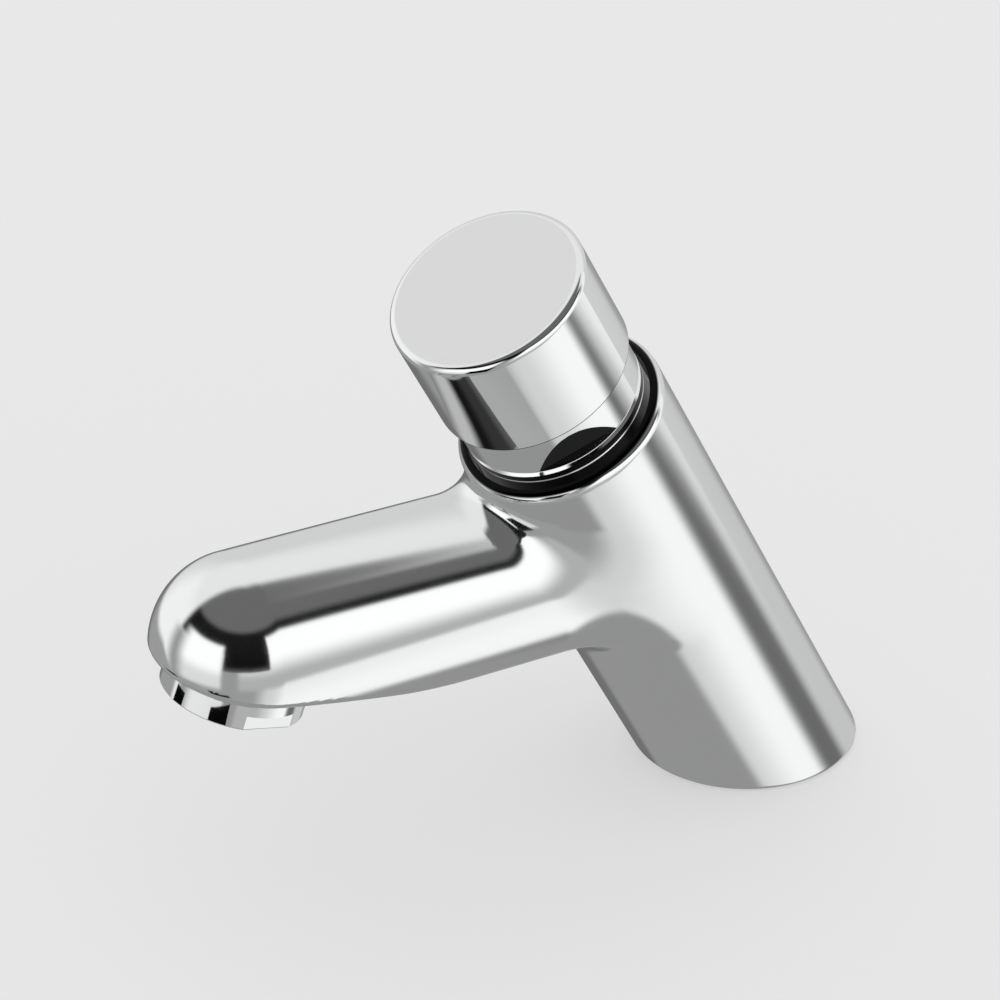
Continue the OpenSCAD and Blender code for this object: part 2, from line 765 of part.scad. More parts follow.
tap_body();
bonnet();
bonnet_oring();
cartridge_sleeve();
sleeve_oring_lower();
sleeve_oring_upper();
seat_ring();
seat_gasket();
gland_bush();
stem_oring();
gland_washer();
timing_needle();
spring_washer();
return_spring();
inlet_strainer();
base_gasket();
aerator_housing();
aerator_insert();
aerator_sieve();
aerator_gasket();
push_button();
button_liner();
stem();
piston();
lip_seal();
piston_clip();
valve_carrier();
valve_washer();
valve_nut();
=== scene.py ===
import json
import math

import bmesh
import bpy
import numpy as np
from mathutils import Matrix, Vector


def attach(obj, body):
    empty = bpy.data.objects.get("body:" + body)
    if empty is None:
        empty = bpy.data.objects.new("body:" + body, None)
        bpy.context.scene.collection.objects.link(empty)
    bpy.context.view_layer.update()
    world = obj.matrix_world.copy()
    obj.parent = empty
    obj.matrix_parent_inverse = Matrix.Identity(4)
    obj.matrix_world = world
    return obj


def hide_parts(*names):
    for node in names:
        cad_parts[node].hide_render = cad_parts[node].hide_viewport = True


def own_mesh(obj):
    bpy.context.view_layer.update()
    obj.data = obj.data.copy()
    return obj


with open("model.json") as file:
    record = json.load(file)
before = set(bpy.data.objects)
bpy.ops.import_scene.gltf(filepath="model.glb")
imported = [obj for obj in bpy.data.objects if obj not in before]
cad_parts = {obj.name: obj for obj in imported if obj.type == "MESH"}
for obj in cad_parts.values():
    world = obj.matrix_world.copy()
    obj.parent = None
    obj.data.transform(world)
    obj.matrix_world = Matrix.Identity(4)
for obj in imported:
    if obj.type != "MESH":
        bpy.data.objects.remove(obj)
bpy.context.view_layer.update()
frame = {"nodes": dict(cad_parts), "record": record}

nodes = frame["nodes"]
scene = bpy.context.scene

# All sizes below are millimetres in the shared frame; meshes are written in metres.
MM = 0.001
# Radius at which a turned face stops short of its centre.
CENTRE = 0.001
LEAN = math.radians(32)
AXIS = np.array([0.0, -math.sin(LEAN), math.cos(LEAN)])
BACK = np.array([0.0, math.cos(LEAN), math.sin(LEAN)])
SIDE = np.array([1.0, 0.0, 0.0])
BARREL_R = 21.0
RIM = 108.7
RIM_ROUND = 2.1
MOUTH_R = 18.6
MOUTH_FLOOR = 104.2
MOUTH_BEVEL, MOUTH_BEVEL_W = 0.35, 0.12
MOUTH_LEDGE = 1.2
BASE_ROUND = 1.35
SPOUT_R = 17.0
SPOUT_TIP = -125.5
SPOUT_TOP = 77.75
SPOUT_FALL = 0.05
SPOUT_BOTTOM = 45.1
SPOUT_DROP = 0.01
FALL_EASE = 12.0
SHOULDER_TIP, SHOULDER_ROOT, SHOULDER_LEAST = 18.5, 14.1, 9.0
SHOULDER_RUN = 60.0
CROWN_SOFT = 6.0
SPOUT_EDGE = 2.2
BELLY, BELLY_Z = 0.019, 59.2
BLEND = 8.5
TILT = math.radians(14)
OUT_AXIS = np.array([0.0, math.sin(TILT), math.cos(TILT)])
OUT_CENTRE = np.array([0.0, -125.15, 53.6])
SEAT_BLEND = 2.2
SEAT_HOLE_R = 12.3
NET_LOW, NET_HIGH, NET_STEP = (-22.5, -144.0, -2.5), (22.5, 27.0, 107.0), 0.7
# The foot's gasket groove, and its two threaded holes: place along Y, radius, depth, pitch.
GROOVE_OUT_R, GROOVE_IN_R, GROOVE_DEPTH = 19.6, 17.6, 2.2
FIXING_HOLE = (0.0, 4.0, 18.0, 1.25)
INLET_HOLE = (-14.0, 5.0, 13.0, 1.0)
HOLE_CHAMFER = 0.3
HOLE_SIDES = 64
# Thread: step from the hole's edge, ridge as a share of the pitch, and length of its fading in.
THREAD_STEP, THREAD_RIDGE, THREAD_FADE = 0.05, 0.55, 0.6
DOWN = np.array([0.0, 0.0, -1.0])


# ---- numbers to meshes ----

class Skin:
    """Collects patches of vertices with their own normals and makes one object of them."""

    def __init__(self):
        self.points, self.normals, self.faces, self.slots = [], [], [], []
        self.count = 0

    def add(self, points, normals, faces, slot=0):
        points = np.asarray(points, float).reshape(-1, 3)
        normals = np.asarray(normals, float).reshape(-1, 3)
        self.points.append(points)
        self.normals.append(normals)
        self.faces += [tuple(int(i) + self.count for i in f) for f in faces]
        self.slots += [slot] * len(faces)
        self.count += len(points)

    def sheet(self, points, normals, closed=True, slot=0):
        """A grid of rows; closed joins the last column to the first."""
        points = np.asarray(points, float)
        rows, cols = points.shape[:2]
        faces = []
        for r in range(rows - 1):
            for c in range(cols if closed else cols - 1):
                d = (c + 1) % cols
                faces.append((r * cols + c, r * cols + d, (r + 1) * cols + d, (r + 1) * cols + c))
        self.add(points, normals, faces, slot)

    def make(self, name, materials, body, slot_name):
        points = np.vstack(self.points) * MM
        normals = np.vstack(self.normals)
        normals /= np.maximum(np.linalg.norm(normals, axis=1, keepdims=True), 1e-9)
        mesh = bpy.data.meshes.new(name)
        mesh.from_pydata(points.tolist(), [], self.faces)
        for m in materials:
            mesh.materials.append(m)
        mesh.polygons.foreach_set("material_index", np.array(self.slots, np.int32))
        mesh.polygons.foreach_set("use_smooth", np.ones(len(self.faces), bool))
        mesh.update()
        # Faces follow the normals that were asked for.
        face_normals = np.empty(len(self.faces) * 3)
        mesh.polygons.foreach_get("normal", face_normals)
        face_normals = face_normals.reshape(-1, 3)
        wanted = np.array([normals[list(f)].sum(0) for f in self.faces])
        for i in np.flatnonzero((face_normals * wanted).sum(1) < 0):
            mesh.polygons[i].flip()
        mesh.update()
        mesh.normals_split_custom_set_from_vertices(normals.tolist())
        obj = bpy.data.objects.new(name, mesh)
        scene.collection.objects.link(obj)
        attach(obj, body)
        return obj


def barrel_point(turn, radius, height):
    """Points on the barrel's axis system: turn in radians from +X towards the back."""
    turn, radius, height = np.broadcast_arrays(turn, radius, height)
    return (radius * np.cos(turn))[..., None] * SIDE + (radius * np.sin(turn))[..., None] * BACK \
        + height[..., None] * AXIS


def barrel_dir(turn, out, along):
    """Directions in the same system."""
    turn, out, along = np.broadcast_arrays(turn, out, along)
    return (out * np.cos(turn))[..., None] * SIDE + (out * np.sin(turn))[..., None] * BACK \
        + along[..., None] * AXIS


def outlet_point(turn, radius, height):
    """The same about the outlet's axis, height upwards from its seat."""
    front = np.cross(OUT_AXIS, SIDE)
    turn, radius, height = np.broadcast_arrays(turn, radius, height)
    return OUT_CENTRE + (radius * np.cos(turn))[..., None] * SIDE \
        + (radius * np.sin(turn))[..., None] * front + height[..., None] * OUT_AXIS


def outlet_dir(turn, out, along):
    return outlet_point(turn, out, along) - OUT_CENTRE


def upright_point(x, y):
    """The same about an upright axis through (x, y)."""
    def place(turn, radius, height):
        turn, radius, height = np.broadcast_arrays(turn, radius, height)
        return np.stack([x + radius * np.cos(turn), y + radius * np.sin(turn), height], -1)
    return place


def upright_dir(turn, out, along):
    return upright_point(0, 0)(turn, out, along)


def arc(centre_r, centre_h, radius, start, end, steps):
    """Profile points of a rounded edge, with their normals."""
    a = np.radians(np.linspace(start, end, steps))
    return [(centre_r + radius * c, centre_h + radius * s, c, s) for c, s in zip(np.cos(a), np.sin(a))]


def turned(skin, place, direct, profile, around=192, slot=0):
    """A turned surface from (radius, height, normal out, normal along) rows."""
    profile = np.array(profile)
    turn = np.linspace(0, 2 * math.pi, around, endpoint=False)[None, :]
    r, h, nr, nh = (profile[:, i][:, None] for i in range(4))
    skin.sheet(place(turn, r, h), direct(turn, nr, nh), True, slot)


# ---- the cast body as one blended skin ----

def round_max(a, b, r):
    """The larger of two distances, with the edge between them rounded."""
    return np.minimum(np.maximum(a, b), -r) + np.hypot(np.maximum(a + r, 0), np.maximum(b + r, 0))


def blend_min(a, b, width):
    """The smaller of two distances, with the corner between them filled."""
    share = np.maximum(width - np.abs(a - b), 0) / width
    return np.minimum(a, b) - share * share * width / 4


def skin_gap(p):
    """Distance of points from the cast skin, less than 0 inside."""
    x, y, z = p[..., 0], p[..., 1], p[..., 2]
    back = p @ BACK
    height = p @ AXIS
    barrel = np.hypot(x, back) - BARREL_R
    # The top falls a little towards the barrel and its shoulders tighten on the way.
    run = np.maximum(y - SPOUT_TIP, 0)
    eased = run * run / (run + FALL_EASE)
    shoulder = SHOULDER_TIP + (SHOULDER_ROOT - SHOULDER_TIP) * eased / SHOULDER_RUN
    shoulder = np.maximum(shoulder, SHOULDER_LEAST)
    wide = np.sqrt(x * x + np.minimum(y - SPOUT_TIP, 0) ** 2 + CROWN_SOFT)
    wide = wide - math.sqrt(SPOUT_R ** 2 + CROWN_SOFT)
    wide = wide + BELLY * np.maximum(BELLY_Z - z, 0) ** 2
    side = round_max(wide, z - SPOUT_TOP + SPOUT_FALL * eased, shoulder)
    seat = -((p - OUT_CENTRE) @ OUT_AXIS)
    under = -blend_min(z - SPOUT_BOTTOM + SPOUT_DROP * run, -seat, SEAT_BLEND)
    spout = round_max(side, under, SPOUT_EDGE)
    spout = -blend_min(-spout, -(back + BARREL_R / 3), BLEND)
    width = BLEND * (1 - np.clip((height - RIM) / BLEND + 1, 0, 1) / 2)
    return blend_min(barrel, spout, width)


def skin_normal(p):
    """Outward normals of the skin, from small steps in each direction."""
    e = 0.01
    g = np.stack([skin_gap(p + e * d) - skin_gap(p - e * d) for d in np.eye(3)], -1)
    return g / np.maximum(np.linalg.norm(g, axis=-1, keepdims=True), 1e-9)


def settle(p):
    """Moves points onto the skin along its normal, nearer in each of six rounds."""
    for _ in range(6):
        p = p - skin_gap(p)[:, None] * skin_normal(p)
    return p


def net(low, high, step):
    """Quads of the zero surface of skin_gap on a grid: one vertex in each cell that it crosses."""
    axes = [np.arange(a, b + step, step) for a, b in zip(low, high)]
    grid = np.stack(np.meshgrid(*axes, indexing="ij"), -1)
    value = skin_gap(grid)
    solid = value < 0
    shape = np.array(value.shape) - 1
    total = np.zeros(tuple(shape) + (3,))
    hits = np.zeros(tuple(shape))
    for axis in range(3):
        others = [a for a in range(3) if a != axis]
        for i in (0, 1):
            for j in (0, 1):
                start = [slice(0, n) for n in shape]
                start[others[0]] = slice(i, i + shape[others[0]])
                start[others[1]] = slice(j, j + shape[others[1]])
                end = list(start)
                end[axis] = slice(1, 1 + shape[axis])
                v0, v1 = value[tuple(start)], value[tuple(end)]
                cross = (v0 < 0) != (v1 < 0)
                share = np.where(cross, v0 / np.where(cross, v0 - v1, 1), 0)
                point = grid[tuple(start)] + share[..., None] * (grid[tuple(end)] - grid[tuple(start)])
                total += np.where(cross[..., None], point, 0)
                hits += cross
    live = hits > 0
    index = np.full(tuple(shape), -1)
    index[live] = np.arange(live.sum())
    points = total[live] / hits[live][:, None]
    faces = []
    for axis in range(3):
        b, c = [a for a in range(3) if a != axis]
        inner = [slice(1, n) for n in shape]
        inner[axis] = slice(0, shape[axis])
        nxt = list(inner)
        nxt[axis] = slice(1, 1 + shape[axis])
        cross = solid[tuple(inner)] != solid[tuple(nxt)]
        at = np.argwhere(cross) + np.array([0 if a == axis else 1 for a in range(3)])
        step_b, step_c = np.eye(3, dtype=int)[b], np.eye(3, dtype=int)[c]
        corners = [at - step_b - step_c, at - step_c, at, at - step_b]
        faces.append(np.stack([index[tuple(q.T)] for q in corners], 1))
    faces = np.vstack(faces)
    return points, faces[(faces >= 0).all(1)]


def cut(bm, keep_below, point, normal, near):
    """Trims the faces that near() picks at a plane and returns the new edge's vertices."""
    faces = [f for f in bm.faces if near(f.calc_center_median())]
    # A dict keeps its order, so that every run makes the same mesh.
    geom = dict.fromkeys(faces)
    for f in faces:
        geom.update(dict.fromkeys(f.edges))
        geom.update(dict.fromkeys(f.verts))
    got = bmesh.ops.bisect_plane(bm, geom=list(geom), dist=1e-5, plane_co=point, plane_no=normal,
                                 clear_outer=keep_below, clear_inner=not keep_below)
    return [g for g in got["geom_cut"] if isinstance(g, bmesh.types.BMVert)]


def cast_skin():
    """The blended skin, open at mouth, foot and seat, and the points on its two round edges."""
    points, quads = net(NET_LOW, NET_HIGH, NET_STEP)
    points = settle(points)
    bm = bmesh.new()
    verts = [bm.verts.new(p) for p in points]
    for q in quads:
        bm.faces.new([verts[i] for i in q])
    axis, back = Vector(AXIS), Vector(BACK)
    # The rim's plane passes through the spout too, so only faces round the barrel are trimmed.
    rim = cut(bm, True, axis * (RIM - RIM_ROUND), axis,
              lambda p: math.hypot(p.x, p.dot(back)) < BARREL_R + 3.5 and p.dot(axis) > RIM - 12)
    foot = cut(bm, False, Vector((0, 0, BASE_ROUND)), Vector((0, 0, 1)), lambda p: p.z < 8)
    # The aerator's thread passes through the seat, under the collar.
    out_axis, out_centre = Vector(OUT_AXIS), Vector(OUT_CENTRE)
    hole = []
    for f in bm.faces:
        d = f.calc_center_median() - out_centre
        k = d.dot(out_axis)
        if abs(k) < 1.0 and (d - out_axis * k).length < SEAT_HOLE_R:
            hole.append(f)
    rim_edge = np.array([v.co[:] for v in rim if v.is_valid])
    foot_edge = np.array([v.co[:] for v in foot if v.is_valid])
    bmesh.ops.delete(bm, geom=hole, context="FACES")
    bm.verts.index_update()
    points = np.array([v.co[:] for v in bm.verts])
    faces = [[v.index for v in f.verts] for f in bm.faces]
    bm.free()
    skin = Skin()
    skin.add(points, skin_normal(points), faces)
    return skin, rim_edge, foot_edge


def add_rim(skin, edge):
    """Rounded edge, flat band, and the mouth down to its floor."""
    turn = np.sort(np.arctan2(edge @ BACK, edge[:, 0]))
    rows, normals = [], []
    for a in np.radians(np.linspace(0, 90, 7)):
        height = RIM - RIM_ROUND * (1 - math.sin(a))
        target = -RIM_ROUND * (1 - math.cos(a))
        near, far = np.full(len(turn), BARREL_R - 3), np.full(len(turn), BARREL_R + 3)
        # Halves the range of radii until the skin lies at the wanted depth.
        for _ in range(40):
            mid = (near + far) / 2
            low = skin_gap(barrel_point(turn, mid, height)) < target
            near, far = np.where(low, mid, near), np.where(low, far, mid)
        p = barrel_point(turn, near, height)
        rows.append(p)
        normals.append(math.cos(a) * skin_normal(p) + math.sin(a) * AXIS)
    skin.sheet(rows, normals)
    flat = np.broadcast_to(AXIS, rows[-1].shape)
    bevel, wall = barrel_dir(turn, -0.7, 0.7), barrel_dir(turn, -1.0, 0.0)
    inner = barrel_point(turn, MOUTH_R + MOUTH_BEVEL_W, RIM)
    wall_top = barrel_point(turn, MOUTH_R, RIM - MOUTH_BEVEL)
    wall_foot = barrel_point(turn, MOUTH_R, MOUTH_FLOOR)
    ledge = barrel_point(turn, MOUTH_R - MOUTH_LEDGE, MOUTH_FLOOR)
    skin.sheet([rows[-1], inner], [flat, flat])
    # The mouth's bevel, wall and floor take slot 1, painted shadow.
    skin.sheet([inner, wall_top], [bevel, bevel], slot=1)
    skin.sheet([wall_top, wall_foot], [wall, wall], slot=1)
    skin.sheet([wall_foot, ledge], [flat, flat], slot=1)


def add_foot(skin, edge):
    """Rounded edge that runs under the barrel, and the gasket's groove; returns its inner edge."""
    turn = np.sort(np.arctan2(edge @ BACK, edge[:, 0]))
    outward = barrel_dir(turn, 1.0, 0.0)
    under = np.broadcast_to(DOWN, outward.shape)

    def on_level(radius, z):
        return barrel_point(turn, radius, (z - radius * np.sin(turn) * BACK[2]) / AXIS[2])

    rows, normals = [], []
    for a in np.radians(np.linspace(0, 90, 7)):
        radius = BARREL_R - BASE_ROUND * (1 - math.cos(a))
        rows.append(on_level(radius, BASE_ROUND * (1 - math.sin(a))))
        normals.append(math.cos(a) * outward + math.sin(a) * DOWN)
    skin.sheet(rows, normals)
    groove_out, groove_in = on_level(GROOVE_OUT_R, 0.0), on_level(GROOVE_IN_R, 0.0)
    deep_out, deep_in = on_level(GROOVE_OUT_R, GROOVE_DEPTH), on_level(GROOVE_IN_R, GROOVE_DEPTH)
    skin.sheet([rows[-1], groove_out], [under, under], slot=2)
    skin.sheet([groove_out, deep_out], [-outward, -outward], slot=2)
    skin.sheet([deep_out, deep_in], [under, under], slot=2)
    skin.sheet([deep_in, groove_in], [outward, outward], slot=2)
    return groove_in


def add_plate(skin, border):
    """Machined plate with the fixing hole and the inlet."""
    plate = bmesh.new()
    ring = np.linspace(0, 2 * math.pi, HOLE_SIDES, endpoint=False)
    mouths = [upright_point(0, y)(ring, radius + HOLE_CHAMFER, 0.0)
              for y, radius, _, _ in (FIXING_HOLE, INLET_HOLE)]
    for loop in [border] + mouths:
        vs = [plate.verts.new(p) for p in loop]
        for a, b in zip(vs, vs[1:] + vs[:1]):
            plate.edges.new((a, b))
    bmesh.ops.triangle_fill(plate, use_beauty=True, use_dissolve=False, edges=plate.edges[:],
                            normal=DOWN)
    plate.verts.index_update()
    points = np.array([v.co[:] for v in plate.verts])
    skin.add(points, np.broadcast_to(DOWN, points.shape),
             [[v.index for v in f.verts] for f in plate.faces], 2)
    plate.free()


def add_thread(skin, y, radius, depth, pitch):
    """A blind hole in the plate: chamfer, threaded wall and end."""
    place = upright_point(0, y)
    start_r, start_z = radius - THREAD_STEP, HOLE_CHAMFER + THREAD_STEP
    turned(skin, place, upright_dir,
           [(radius + HOLE_CHAMFER, 0.0, -0.7, -0.7), (start_r, start_z, -0.7, -0.7)], HOLE_SIDES, 2)
    z = np.linspace(start_z, depth, int(depth / pitch * 10))[:, None]
    t = np.linspace(0, 2 * math.pi, HOLE_SIDES, endpoint=False)[None, :]
    phase = (z / pitch + t / (2 * math.pi)) % 1.0
    ridge = THREAD_RIDGE * pitch * (1 - np.abs(2 * phase - 1))
    r = start_r - ridge * np.clip((z - start_z) / THREAD_FADE, 0, 1)
    slope = np.where(phase < 0.5, 1.0, -1.0)
    skin.sheet(place(t, r, z), upright_dir(t, -0.75, -0.6 * slope), slot=2)
    turned(skin, place, upright_dir, [(radius, depth, 0, -1), (CENTRE, depth, 0, -1)], HOLE_SIDES, 2)


def make_tap_body(chrome, dark, brass):
    """Slots: 0 chrome, 1 the mouth in painted shadow, 2 the machined underside."""
    skin, rim_edge, foot_edge = cast_skin()
    add_rim(skin, rim_edge)
    add_plate(skin, add_foot(skin, foot_edge))
    add_thread(skin, *FIXING_HOLE)
    add_thread(skin, *INLET_HOLE)
    obj = skin.make("tap_body_cast", [chrome, dark, brass], "tap", "chromed_brass")
    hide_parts("tap_body")
    return obj


# ---- turned pieces that show ----

BUTTON_R = 19.45
BUTTON_FOOT = 121.7
BUTTON_TOP = 145.5
BUTTON_EDGE = 1.5
BUTTON_LIP = 0.4
BUTTON_BORE_R = 18.45
BUTTON_CEILING = 142.5


def make_button(chrome, satin, dark):
    """Slots: 0 chrome, 1 the satin face, 2 painted shade on what lies in the dark."""
    skin = Skin()

    def ring(profile, slot=0):
        turned(skin, barrel_point, barrel_dir, profile, 256, slot)

    edge_r, edge_h = BUTTON_R - BUTTON_EDGE, BUTTON_TOP - BUTTON_EDGE
    lip_r, lip_h = BUTTON_R - BUTTON_LIP, BUTTON_FOOT + BUTTON_LIP
    ring([(r, BUTTON_TOP, 0, 1) for r in np.linspace(CENTRE, edge_r, 10)], 1)
    rounding = arc(edge_r, edge_h, BUTTON_EDGE, 90, 0, 13)
    side = [(BUTTON_R, h, 1, 0) for h in np.linspace(edge_h, lip_h, 5)[1:]]
    ring(rounding + side)
    # Lip, underside and inner wall, in painted shade.
    ring(side[-1:] + arc(lip_r, lip_h, BUTTON_LIP, 0, -90, 5)[1:], 2)
    ring([(lip_r, BUTTON_FOOT, 0, -1), (BUTTON_BORE_R, BUTTON_FOOT, 0, -1)], 2)
    ring([(BUTTON_BORE_R, BUTTON_FOOT, -1, 0), (BUTTON_BORE_R, BUTTON_CEILING, -1, 0)], 2)
    ring([(BUTTON_BORE_R, BUTTON_CEILING, 0, -1), (CENTRE, BUTTON_CEILING, 0, -1)])
    obj = skin.make("button_cap", [chrome, satin, dark], "plunger", "chromed_button")
    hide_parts("push_button")
    return obj


BONNET_R = 18.1
RING_TOP = RIM + 3.7
NECK_FOOT = RING_TOP + 0.8
BONNET_TOP = 126.0
FLAT_TURN = math.radians(-15)
FLAT_DEPTH = 2.0
FLAT_RISE = 6.4
RING_EDGE = 0.45
GROOVE_R = BONNET_R - 0.6
NECK_EDGE = 0.5
# A bright line of plain chrome round the ring, by its foot and top; the ring above and below it is
# painted shade.
LINE_FOOT, LINE_TOP = RIM + 1.6, RIM + 1.9
SHANK_R, SHANK_FOOT = 16.8, 94.0
BONNET_BORE_R, BONNET_FLOOR, STEM_HOLE_R = 14.5, 103.2, 4.3


def make_bonnet(chrome, dark):
    """Slots: 0 chrome, 1 painted shade, chrome darkened to stand for dark reflections and shadow."""
    skin = Skin()

    def ring(profile, slot=0):
        turned(skin, barrel_point, barrel_dir, profile, 256, slot)

    ring([(SHANK_R, SHANK_FOOT, 1, 0), (SHANK_R, MOUTH_FLOOR, 1, 0)])
    ring([(SHANK_R, MOUTH_FLOOR, 0, -1), (BONNET_R, MOUTH_FLOOR, 0, -1)])
    ring([(BONNET_R, MOUTH_FLOOR, 1, 0), (BONNET_R, LINE_FOOT, 1, 0)], 1)
    ring([(BONNET_R, LINE_FOOT, 1, 0), (BONNET_R, LINE_TOP, 1, 0)])
    ring([(BONNET_R, LINE_TOP, 1, 0), (BONNET_R, RING_TOP - RING_EDGE, 1, 0)], 1)
    ring([(BONNET_R, RING_TOP - RING_EDGE, 0.7, 0.7), (BONNET_R - RING_EDGE, RING_TOP, 0.7, 0.7)])
    ring([(BONNET_R - RING_EDGE, RING_TOP, 0, 1), (GROOVE_R, RING_TOP, 0, 1)])
    # The groove's wall, in painted shade.
    ring([(GROOVE_R, RING_TOP, 1, 0), (GROOVE_R, NECK_FOOT, 1, 0)], 1)

    # Neck with two sloping flats in painted shade: each row is split where the flats meet the cylinder.
    slope = math.atan(FLAT_DEPTH / FLAT_RISE)
    heights = np.linspace(NECK_FOOT, NECK_FOOT + FLAT_RISE, 25)
    reach = BONNET_R - FLAT_DEPTH + (heights - NECK_FOOT) * math.tan(slope)
    half = np.arccos(np.clip(reach / BONNET_R, -1, 1))[:, None]
    for side in (0, math.pi):
        middle = FLAT_TURN + side
        t = np.linspace(-1, 1, 25)[None, :] * half
        radius = reach[:, None] / np.cos(t)
        points = barrel_point(middle + t, radius, heights[:, None])
        normal = barrel_dir(middle, math.cos(slope), -math.sin(slope))
        skin.sheet(points, np.broadcast_to(normal, points.shape), False, 1)
        t = half + np.linspace(0, 1, 97)[None, :] * (math.pi - 2 * half)
        points = barrel_point(middle + t, BONNET_R, heights[:, None])
        skin.sheet(points, barrel_dir(middle + t, 1.0, 0.0), False)
        # Foot of the neck, with the flat's straight edge.
        low = half[0, 0]
        t = np.linspace(-low, low, 25)
        chord = reach[0] / np.cos(t)
        rim = barrel_point(middle + t, np.minimum(chord, BONNET_R), NECK_FOOT)
        root = barrel_point(middle + t, np.minimum(chord, GROOVE_R), NECK_FOOT)
        skin.sheet([rim, root], np.broadcast_to(-AXIS, (2, 25, 3)), False)
        # The groove's floor that the flat leaves bare, in painted shade.
        out = barrel_point(middle + t, chord, NECK_FOOT)
        rest = barrel_point(middle + t, np.maximum(chord, GROOVE_R), NECK_FOOT)
        skin.sheet([out, rest], np.broadcast_to(AXIS, (2, 25, 3)), False, 1)
        t = low + np.linspace(0, 1, 97) * (math.pi - 2 * low)
        rim = barrel_point(middle + t, BONNET_R, NECK_FOOT)
        root = barrel_point(middle + t, GROOVE_R, NECK_FOOT)
        skin.sheet([rim, root], np.broadcast_to(-AXIS, (2, 97, 3)), False)
    edge_r, edge_h = BONNET_R - NECK_EDGE, BONNET_TOP - NECK_EDGE
    ring([(BONNET_R, NECK_FOOT + FLAT_RISE, 1, 0), (BONNET_R, edge_h, 1, 0)])
    ring([(BONNET_R, edge_h, 0.7, 0.7), (edge_r, BONNET_TOP, 0.7, 0.7)])
    ring([(edge_r, BONNET_TOP, 0, 1), (BONNET_BORE_R, BONNET_TOP, 0, 1)])
    ring([(BONNET_BORE_R, BONNET_TOP, -1, 0), (BONNET_BORE_R, BONNET_FLOOR, -1, 0)])
    ring([(BONNET_BORE_R, BONNET_FLOOR, 0, 1), (STEM_HOLE_R, BONNET_FLOOR, 0, 1)])
    obj = skin.make("bonnet_neck", [chrome, dark], "tap", "chromed_brass")
    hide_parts("bonnet")
    return obj


COLLAR_R = 13.9
COLLAR_H = 5.7
COLLAR_FLAT = 12.9
COLLAR_FLAT_H = 3.0
COLLAR_EDGE, COLLAR_BREAK = 0.3, 0.2
THREAD_R, THREAD_TOP = 11.8, 6.0
AERATOR_BORE_R = 10.0
LIP_R, LIP_H = 8.9, 1.1


def make_aerator(chrome):
    skin = Skin()

    def ring(profile):
        turned(skin, outlet_point, outlet_dir, profile, 192)

    def band(turns, upper, lower, normal):
        """A strip between two (radius, height) edges, over part of a turn."""
        rows = [outlet_point(turns, *upper), outlet_point(turns, *lower)]
        skin.sheet(rows, np.broadcast_to(normal, (2, len(turns), 3)), False)

    foot, edge, ledge = -COLLAR_H, COLLAR_EDGE - COLLAR_H, COLLAR_FLAT_H - COLLAR_H
    lip_top, mouth_r = LIP_H - COLLAR_H, LIP_R + COLLAR_BREAK
    ring([(THREAD_R, THREAD_TOP, 0, 1), (AERATOR_BORE_R, THREAD_TOP, 0, 1)])
    ring([(THREAD_R, THREAD_TOP, 1, 0), (THREAD_R, 0.0, 1, 0)])
    ring([(THREAD_R, 0.0, 0, 1), (COLLAR_R - COLLAR_BREAK, 0.0, 0, 1)])
    ring([(COLLAR_R - COLLAR_BREAK, 0.0, 0.7, 0.7), (COLLAR_R, -COLLAR_BREAK, 0.7, 0.7)])
    ring([(COLLAR_R, -COLLAR_BREAK, 1, 0), (COLLAR_R, ledge, 1, 0)])
    half = math.acos(COLLAR_FLAT / COLLAR_R)
    for side in (0, math.pi):
        # The spanner flat with its ledge, then the round part up to the other flat.
        t = np.linspace(-half, half, 25)
        flat_r = COLLAR_FLAT / np.cos(t)
        band(side + t, (flat_r, ledge), (flat_r, edge), outlet_dir(side, 1.0, 0.0))
        band(side + t, (COLLAR_R, ledge), (flat_r, ledge), -OUT_AXIS)
        band(side + t, (flat_r, edge), (flat_r - COLLAR_EDGE, foot), outlet_dir(side, 0.7, -0.7))
        band(side + t, (flat_r - COLLAR_EDGE, foot), (mouth_r, foot), -OUT_AXIS)
        t = half + np.linspace(0, 1, 73) * (math.pi - 2 * half)
        band(side + t, (COLLAR_R, ledge), (COLLAR_R, edge), outlet_dir(side + t, 1.0, 0.0))
        band(side + t, (COLLAR_R, edge), (COLLAR_R - COLLAR_EDGE, foot), outlet_dir(side + t, 0.7, -0.7))
        band(side + t, (COLLAR_R - COLLAR_EDGE, foot), (mouth_r, foot), -OUT_AXIS)
    ring([(mouth_r, foot, -0.7, -0.7), (LIP_R, foot + COLLAR_BREAK, -0.7, -0.7)])
    ring([(LIP_R, foot + COLLAR_BREAK, -1, 0), (LIP_R, lip_top, -1, 0)])
    ring([(LIP_R, lip_top, 0, 1), (AERATOR_BORE_R, lip_top, 0, 1)])
    ring([(AERATOR_BORE_R, lip_top, -1, 0), (AERATOR_BORE_R, THREAD_TOP, -1, 0)])
    obj = skin.make("aerator_collar", [chrome], "tap", "chromed_brass")
    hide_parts("aerator_housing")


SPRING_FOOT = 104.0
SPRING_HEAD = 138.0
SPRING_R = 10.5
SPRING_GAP = 0.05
SPRING_TURNS = 6
STEPS_PER_TURN = 48
WIRE_R = 0.9
WIRE_SIDES = 16
CLOSED_PITCH = 1.25 * 2 * WIRE_R


